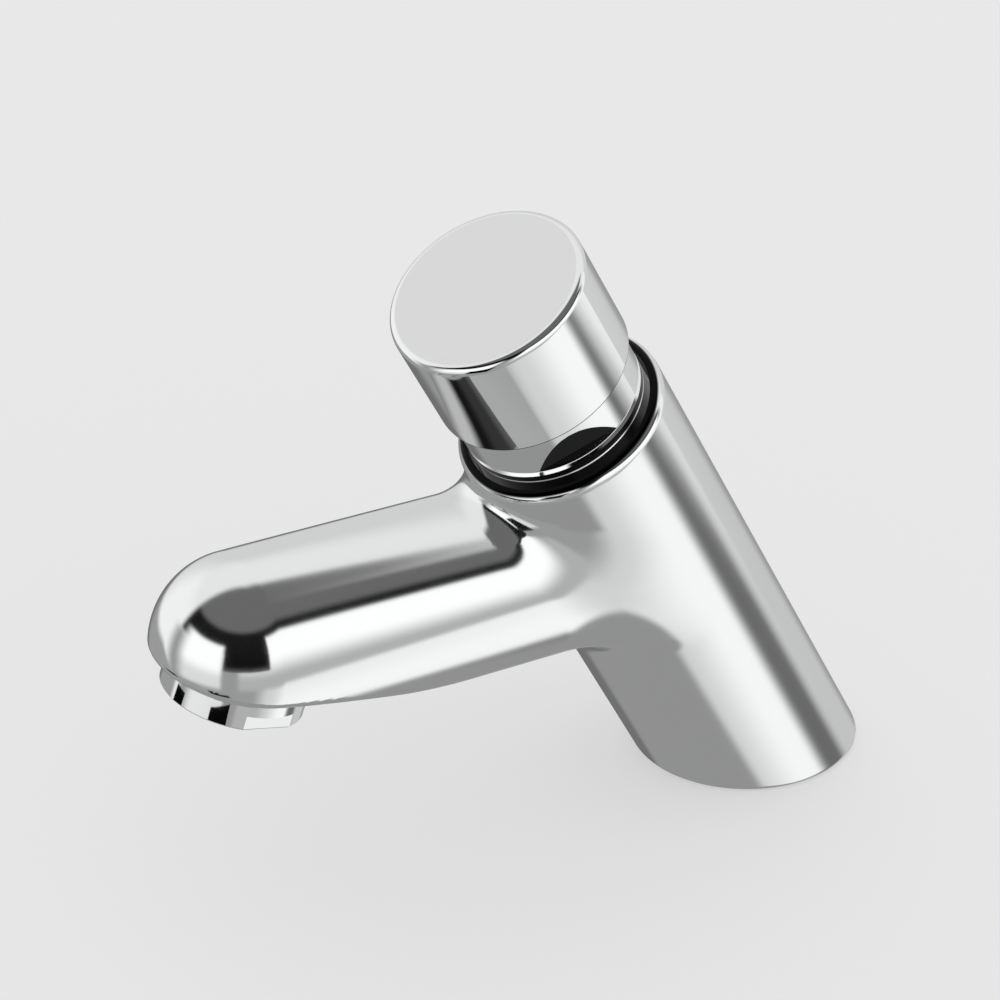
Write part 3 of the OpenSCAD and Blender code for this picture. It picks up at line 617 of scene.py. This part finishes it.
def make_spring(steel):
    low, high = SPRING_FOOT + WIRE_R + SPRING_GAP, SPRING_HEAD - WIRE_R - SPRING_GAP
    pitch = (high - low - 2 * CLOSED_PITCH) / (SPRING_TURNS - 2)
    turns = np.linspace(0, SPRING_TURNS, SPRING_TURNS * STEPS_PER_TURN + 1)[:, None]
    # The first and last turns lie closer than the others.
    last = high - CLOSED_PITCH * (SPRING_TURNS - turns)
    height = np.where(turns > SPRING_TURNS - 1, last, low + CLOSED_PITCH + pitch * (turns - 1))
    height = np.where(turns < 1, low + CLOSED_PITCH * turns, height)
    around = np.linspace(0, 2 * math.pi, WIRE_SIDES, endpoint=False)[None, :]
    turn = 2 * math.pi * turns
    points = barrel_point(turn, SPRING_R + WIRE_R * np.cos(around), height + WIRE_R * np.sin(around))
    normals = barrel_dir(turn, np.cos(around), np.sin(around))
    skin = Skin()
    skin.sheet(points, normals)
    for end, sign in ((0, -1), (len(points) - 1, 1)):
        along = sign * barrel_dir(turn[end] + math.pi / 2, 1.0, 0.0)
        skin.add(points[end], np.broadcast_to(along, points[end].shape), [list(range(WIRE_SIDES))])
    obj = skin.make("return_coil", [steel], "tap", "spring_steel")
    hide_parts("return_spring")
    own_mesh(obj)
    return obj


# ---- materials ----

def material(name, colour, metallic, roughness, build):
    """A plain surface, to which build() adds its unevenness."""
    m = bpy.data.materials.new(name)
    m.use_nodes = True
    tree = m.node_tree
    shader = tree.nodes["Principled BSDF"]
    shader.inputs["Metallic"].default_value = metallic
    shader.inputs["Roughness"].default_value = roughness
    shader.inputs["Base Color"].default_value = (*colour, 1)
    build(tree, shader, colour, roughness)
    return m


def noise(tree, scale, stretch):
    coord = tree.nodes.new("ShaderNodeTexCoord")
    mapping = tree.nodes.new("ShaderNodeMapping")
    mapping.inputs["Scale"].default_value = stretch
    tex = tree.nodes.new("ShaderNodeTexNoise")
    tex.inputs["Scale"].default_value = scale
    tex.inputs["Detail"].default_value = 4.0
    tree.links.new(coord.outputs["Object"], mapping.inputs["Vector"])
    tree.links.new(mapping.outputs["Vector"], tex.inputs["Vector"])
    return tex.outputs["Fac"]


def spread(tree, value, low, high):
    """Lays the middle of a noise's range over low to high."""
    node = tree.nodes.new("ShaderNodeMapRange")
    node.inputs["From Min"].default_value = 0.3
    node.inputs["From Max"].default_value = 0.7
    node.inputs["To Min"].default_value = low
    node.inputs["To Max"].default_value = high
    tree.links.new(value, node.inputs["Value"])
    return node.outputs["Result"]


def tint(tree, value, a, b):
    node = tree.nodes.new("ShaderNodeMix")
    node.data_type = "RGBA"
    node.inputs["A"].default_value = (*a, 1)
    node.inputs["B"].default_value = (*b, 1)
    tree.links.new(value, node.inputs["Factor"])
    return node.outputs["Result"]


def bump(tree, shader, height, strength, distance):
    node = tree.nodes.new("ShaderNodeBump")
    node.inputs["Strength"].default_value = strength
    node.inputs["Distance"].default_value = distance
    tree.links.new(height, node.inputs["Height"])
    tree.links.new(node.outputs["Normal"], shader.inputs["Normal"])


def grain(scale, rough_spread, colour_spread, stretch=(1, 1, 1), relief=0.0, depth=0.0002):
    """Uneven polish: roughness and colour wander a little, with an optional fine relief."""
    def build(tree, shader, colour, roughness):
        n = noise(tree, scale, stretch)
        tree.links.new(spread(tree, n, roughness - rough_spread, roughness + rough_spread),
                       shader.inputs["Roughness"])
        dark = tuple(c * (1 - colour_spread) for c in colour)
        tree.links.new(tint(tree, n, dark, colour), shader.inputs["Base Color"])
        if relief:
            bump(tree, shader, n, relief, depth)
    return build


chrome = material("chrome_plate", (0.93, 0.935, 0.94), 1.0, 0.05, grain(35, 0.012, 0.02))
chrome_cast = material("chrome_cast", (0.93, 0.935, 0.94), 1.0, 0.11, grain(28, 0.012, 0.02))
# Painted shade: chrome darkened nearly to black where dark reflections and shadow fall, on the bonnet
# and the button.
chrome_painted_shade = material("chrome_painted_shade", (0.005, 0.005, 0.0052), 1.0, 0.12, grain(60, 0.02, 0.1))
satin = material("satin_chrome_face", (0.84, 0.84, 0.845), 1.0, 0.34, grain(160, 0.03, 0.02))
# Painted shadow inside the barrel's mouth, between the rim and the bonnet.
mouth_painted_shadow = material("mouth_shadow", (0.02, 0.02, 0.022), 0.2, 0.55, grain(300, 0.08, 0.3))
brass_cut = material("machined_brass", (0.78, 0.62, 0.33), 1.0, 0.30,
                     grain(260, 0.06, 0.12, (1, 1, 1), 0.08, 0.00005))
brass_turned = material("turned_brass", (0.80, 0.63, 0.32), 1.0, 0.24,
                        grain(400, 0.06, 0.10, (1, 1, 6), 0.08, 0.00004))
stainless = material("turned_stainless", (0.66, 0.66, 0.67), 1.0, 0.26,
                     grain(500, 0.06, 0.08, (1, 1, 5), 0.06, 0.00004))
spring_steel = material("spring_wire", (0.56, 0.56, 0.57), 1.0, 0.22, grain(450, 0.05, 0.12))
acetal = material("acetal_white", (0.82, 0.82, 0.80), 0.0, 0.42,
                  grain(220, 0.06, 0.04, (1, 1, 1), 0.04, 0.00004))
rubber = material("rubber_black", (0.025, 0.025, 0.027), 0.0, 0.62,
                  grain(700, 0.08, 0.35, (1, 1, 1), 0.12, 0.00005))


def above(tree, value, start, end):
    """Share that rises from 0 to 1 between two heights in millimetres."""
    node = tree.nodes.new("ShaderNodeMapRange")
    node.inputs["From Min"].default_value = start * MM
    node.inputs["From Max"].default_value = end * MM
    tree.links.new(value, node.inputs["Value"])
    return node.outputs["Result"]


# Where painted shade darkens the rim, as the button keeps the light off it: heights along the
# barrel's axis, and heights above the floor that leave the spout's tip out.
RIM_SHADE = (RIM - 0.65, RIM - 0.4)
OVER_SPOUT = (SPOUT_TOP + 0.8, SPOUT_TOP + 1.8)


def paint_rim_shade(mat):
    """Paints shade on the inner part of the barrel's rim by darkening its base colour."""
    tree = mat.node_tree
    base = tree.nodes["Principled BSDF"].inputs["Base Color"]
    coord = tree.nodes.new("ShaderNodeTexCoord")
    along = tree.nodes.new("ShaderNodeVectorMath")
    along.operation = "DOT_PRODUCT"
    along.inputs[1].default_value = AXIS
    axes = tree.nodes.new("ShaderNodeSeparateXYZ")
    share = tree.nodes.new("ShaderNodeMath")
    share.operation = "MULTIPLY"
    mixed = tree.nodes.new("ShaderNodeMix")
    mixed.data_type = "RGBA"
    # Colour of the painted shade.
    mixed.inputs["B"].default_value = (0.006, 0.006, 0.006, 1)
    tree.links.new(coord.outputs["Object"], along.inputs[0])
    tree.links.new(coord.outputs["Object"], axes.inputs["Vector"])
    tree.links.new(above(tree, along.outputs["Value"], *RIM_SHADE), share.inputs[0])
    tree.links.new(above(tree, axes.outputs["Z"], *OVER_SPOUT), share.inputs[1])
    tree.links.new(share.outputs["Value"], mixed.inputs["Factor"])
    tree.links.new(base.links[0].from_socket, mixed.inputs["A"])
    tree.links.new(mixed.outputs["Result"], base)


paint_rim_shade(chrome_cast)

FINISH = {"chromed_brass": chrome, "chromed_button": chrome, "brass": brass_turned,
          "stainless": stainless, "spring_steel": spring_steel, "acetal": acetal, "rubber": rubber}
slot_of = {s["node"]: s["material_slot"] for s in frame["record"]["subparts"]}
for name, obj in nodes.items():
    obj.data.materials.clear()
    obj.data.materials.append(FINISH[slot_of[name]])

body = make_tap_body(chrome_cast, mouth_painted_shadow, brass_cut)
button = make_button(chrome, satin, chrome_painted_shade)
bonnet = make_bonnet(chrome, chrome_painted_shade)
make_aerator(chrome)
coil = make_spring(spring_steel)


# ---- camera, from the photograph's vanishing lines ----

FOCAL_PX = 4151.5
AZIMUTH, ELEVATION, ROLL = math.radians(53.907), math.radians(31.772), math.radians(5.648)
SHIFT = np.array([51.244, -47.911, -865.98])
PICTURE_PX = 1000.0
SENSOR = 36.0
back = np.array([math.sin(AZIMUTH) * math.cos(ELEVATION), -math.cos(AZIMUTH) * math.cos(ELEVATION),
                 math.sin(ELEVATION)])
right = np.array([math.cos(AZIMUTH), math.sin(AZIMUTH), 0.0])
up = np.cross(back, right)
right, up = (right * math.cos(ROLL) + up * math.sin(ROLL),
             up * math.cos(ROLL) - right * math.sin(ROLL))
view = np.array([right, up, back])
eye = -view.T @ SHIFT * MM
camera_data = bpy.data.cameras.new("camera")
camera_data.sensor_fit = "HORIZONTAL"
camera_data.sensor_width = SENSOR
camera_data.lens = FOCAL_PX * SENSOR / PICTURE_PX
camera_data.clip_start = 0.05
camera_data.clip_end = 20.0
camera = bpy.data.objects.new("camera", camera_data)
camera.matrix_world = Matrix.Translation(Vector(eye)) @ Matrix(view.T.tolist()).to_4x4()
scene.collection.objects.link(camera)
scene.camera = camera


# ---- studio ----

# Share of the light that the plating keeps.
PLATING = 0.93
# Tone of the backdrop behind the floor.
BACKDROP = 231
# The floor in metres: half its width, and how far it lies below the tap.
FLOOR_HALF, FLOOR_DROP = 8.0, 0.0002
FLOOR_GLOW = 0.45


def to_linear(v):
    """A tone of 0 to 255 as it is written in a picture, as light."""
    v = v / 255.0
    return v / 12.92 if v <= 0.04045 else ((v + 0.055) / 1.055) ** 2.4


def shade(v):
    """Light that the plating shows as tone v."""
    return to_linear(v) / PLATING


def work_in(node_tree):
    """Empties a node tree, to which the helpers below add their nodes from here on."""
    global tree
    tree = node_tree
    tree.nodes.clear()


def link(value, socket):
    if isinstance(value, (int, float)):
        socket.default_value = value
    else:
        tree.links.new(value, socket)


def calc(op, a, b=0.0):
    node = tree.nodes.new("ShaderNodeMath")
    node.operation = op
    link(a, node.inputs[0])
    link(b, node.inputs[1])
    return node.outputs[0]


def ease(x, start, end):
    """Goes softly from 0 at start to 1 at end, in either direction."""
    node = tree.nodes.new("ShaderNodeMapRange")
    node.interpolation_type = "SMOOTHSTEP"
    flip = start > end
    link(x, node.inputs["Value"])
    node.inputs["From Min"].default_value = min(start, end)
    node.inputs["From Max"].default_value = max(start, end)
    node.inputs["To Min"].default_value = 1.0 if flip else 0.0
    node.inputs["To Max"].default_value = 0.0 if flip else 1.0
    return node.outputs["Result"]


def mix(a, b, share):
    node = tree.nodes.new("ShaderNodeMix")
    node.data_type = "FLOAT"
    link(share, node.inputs["Factor"])
    link(a, node.inputs["A"])
    link(b, node.inputs["B"])
    return node.outputs["Result"]


def times(a, b):
    return calc("MULTIPLY", a, b)


def between(x, start, full, last, end):
    """1 from full to last, and softly down to 0 at start and end."""
    return times(ease(x, start, full), ease(x, end, last))


world = bpy.data.worlds.new("studio")
scene.world = world
world.use_nodes = True
work_in(world.node_tree)
coord = tree.nodes.new("ShaderNodeTexCoord")
split = tree.nodes.new("ShaderNodeSeparateXYZ")
tree.links.new(coord.outputs["Generated"], split.inputs["Vector"])
dx, dy, dz = split.outputs
ahead = times(dy, -1.0)
# Bearing: 0 over the spout, 90 on its right-hand side, in degrees; lift: degrees above the horizon.
bearing = times(calc("ARCTAN2", dx, ahead), 180 / math.pi)
lift = times(calc("ARCSINE", calc("MINIMUM", calc("MAXIMUM", dz, -1.0), 1.0)), 180 / math.pi)

# White tent, brightest on the left of the tip.
light = mix(shade(206), shade(240), times(ease(bearing, -112, -68), ease(lift, 60, 30)))
light = mix(light, shade(228), ease(lift, 20, 50))
# Dark room beyond the tent on the right, black just above the panels. Its border is a limit of dx,
# which moves to the left the further ahead one looks.
gloom = mix(shade(8), shade(100), ease(lift, 37, 44))
limit = mix(mix(0.27, -0.08, ease(lift, 54, 63)), -0.08, ease(ahead, -0.4, -0.1))
limit = calc("SUBTRACT", limit, times(calc("MAXIMUM", calc("ADD", ahead, 0.15), 0.0), 0.4))
reach = ease(calc("SUBTRACT", dx, limit), -0.09, 0.09)
light = mix(light, gloom, times(reach, ease(lift, 8, 16)))
light = mix(light, shade(150), times(between(bearing, -44, -26, 126, 150), ease(lift, 16, 8)))
# Front panel.
panel = mix(mix(shade(165), shade(218), ease(lift, -44, -26)), shade(255), ease(lift, -18, -2))
light = mix(light, panel, times(between(bearing, -26, -6, 36, 42), ease(lift, 25, 20)))
# Right-hand panel, fading towards its foot.
panel = mix(shade(174), shade(255), ease(lift, -18, 8))
light = mix(light, panel, times(between(bearing, 56, 64, 150, 165), ease(lift, 33.5, 28.5)))
# Table top and what stands round it: grey right below the tap, then by bearing.
table = mix(shade(152), shade(110), between(bearing, -140, -122, -105, -84))
table = mix(table, mix(shade(208), shade(247), ease(bearing, 102, 134)),
            between(bearing, 78, 102, 143, 157))
table = mix(table, shade(104), between(bearing, 143, 157, 166, 179))
table = mix(table, shade(193), calc("MAXIMUM", ease(bearing, 166, 179), ease(bearing, -142, -160)))
table = mix(shade(144), table, ease(lift, -59, -53))
# The table's edge lies lower where the panels stand.
edge = mix(-14.0, -29.5, between(bearing, -50, -25, 115, 135))
light = mix(table, light, ease(calc("SUBTRACT", lift, edge), -4, 4))

# The plating mirrors the studio, the camera sees the backdrop, and all else is lit evenly.
rays = tree.nodes.new("ShaderNodeLightPath")
value = mix(1.0, light, rays.outputs["Is Glossy Ray"])
value = mix(value, to_linear(BACKDROP), rays.outputs["Is Camera Ray"])
background = tree.nodes.new("ShaderNodeBackground")
output = tree.nodes.new("ShaderNodeOutputWorld")
tree.links.new(value, background.inputs["Color"])
tree.links.new(background.outputs["Background"], output.inputs["Surface"])

floor_mat = material("floor_pale", (0.36, 0.36, 0.36), 0.0, 0.9, grain(3, 0.03, 0.004))
floor_shader = floor_mat.node_tree.nodes["Principled BSDF"]
floor_shader.inputs["Specular IOR Level"].default_value = 0.0
floor_shader.inputs["Emission Color"].default_value = (1, 1, 1, 1)
floor_shader.inputs["Emission Strength"].default_value = FLOOR_GLOW
floor_mesh = bpy.data.meshes.new("floor")
corners = [(x * FLOOR_HALF, y * FLOOR_HALF, -FLOOR_DROP)
           for x, y in ((-1, -1), (1, -1), (1, 1), (-1, 1))]
floor_mesh.from_pydata(corners, [], [(0, 1, 2, 3)])
floor_mesh.materials.append(floor_mat)
floor = bpy.data.objects.new("floor", floor_mesh)
scene.collection.objects.link(floor)
floor.visible_glossy = False


# ---- cards, seen in the plating only and from one side only ----

def card_material(name, tone):
    """A glowing card; tone(x, z) gives its light at a place in millimetres."""
    mat = bpy.data.materials.new(name)
    mat.use_nodes = True
    work_in(mat.node_tree)
    face = tree.nodes.new("ShaderNodeNewGeometry")
    axes = tree.nodes.new("ShaderNodeSeparateXYZ")
    tree.links.new(face.outputs["Position"], axes.inputs["Vector"])
    x, z = (times(axes.outputs[axis], 1 / MM) for axis in ("X", "Z"))
    glow = tree.nodes.new("ShaderNodeEmission")
    clear = tree.nodes.new("ShaderNodeBsdfTransparent")
    choice = tree.nodes.new("ShaderNodeMixShader")
    result = tree.nodes.new("ShaderNodeOutputMaterial")
    link(tone(x, z), glow.inputs["Strength"])
    tree.links.new(face.outputs["Backfacing"], choice.inputs["Fac"])
    tree.links.new(glow.outputs["Emission"], choice.inputs[1])
    tree.links.new(clear.outputs["BSDF"], choice.inputs[2])
    tree.links.new(choice.outputs["Shader"], result.inputs["Surface"])
    return mat


def make_card(name, rows, mat):
    """A card from rows of points in millimetres."""
    high, wide = rows.shape[:2]
    quads = [(r * wide + c, r * wide + c + 1, (r + 1) * wide + c + 1, (r + 1) * wide + c)
             for r in range(high - 1) for c in range(wide - 1)]
    mesh = bpy.data.meshes.new(name)
    mesh.from_pydata((rows.reshape(-1, 3) * MM).tolist(), [], quads)
    mesh.materials.append(mat)
    card = bpy.data.objects.new(name, mesh)
    scene.collection.objects.link(card)
    card.visible_camera = card.visible_diffuse = False
    card.visible_shadow = card.visible_transmission = False


def upright(radius, start, end, low, high):
    """Rows of a card bent round the spout's tip, its face inwards, by bearing in degrees."""
    turns = np.radians(np.linspace(end, start, 26))
    return np.array([[(radius * math.sin(a), SPOUT_TIP - radius * math.cos(a), z) for a in turns]
                     for z in np.linspace(low, high, 7)])


def level(a, b, c, d, z):
    """Rows of a level card between four corners, its face upwards."""
    a, b, c, d = (np.array([*p, z]) for p in (a, b, c, d))
    steps = np.linspace(0, 1, 9)
    return np.array([[a + (b - a) * u + (d - a) * v + (a - b + c - d) * u * v for u in steps]
                     for v in steps])


def crown_tone(x, z):
    tone = mix(shade(130), shade(182), ease(x, -13, -6))
    tone = mix(tone, shade(22), ease(x, -2.5, 3.5))
    return mix(mix(tone, shade(50), ease(x, 5, 10)), shade(85), ease(x, 13, 17))


# A flag between the two panels, paler at its foot, and two black strips by the collar.
flag = card_material("flag_cloth", lambda x, z: mix(shade(80), shade(6), ease(z, 58.5, 66)))
make_card("flag_tall", upright(60.0, 43.0, 93.0, 59.0, 104.0), flag)
strip = card_material("flag_strip", lambda x, z: mix(shade(5), shade(9), ease(z, 40, 52)))
make_card("flag_strip_left", upright(30.0, -18.5, -4.0, 44.0, 50.0), strip)
make_card("flag_strip_right", upright(30.0, 31.5, 52.0, 43.0, 49.4), strip)
# Glowing cards that paint the reflection in the button's wall of what it looks down on: the crown of the
# spout, which is itself not mirrored, and the table beside it.
crown = card_material("crown_painted_reflection", crown_tone)
make_card("crown_card", level((-13, -98), (17.5, -98), (17.5, -80.5), (-13, -80.5), 78.9), crown)
beside = card_material("table_painted_reflection", lambda x, z: mix(shade(166), shade(160), ease(x, 20, 40)))
make_card("table_card", level((17.5, -99), (46, -87), (29.5, -70), (17.5, -78), 80.0), beside)
# Nothing but the collar is mirrored in the other pieces.
for piece in [body, button, bonnet, coil] + list(nodes.values()):
    piece.visible_glossy = False

scene.view_settings.view_transform = "Standard"
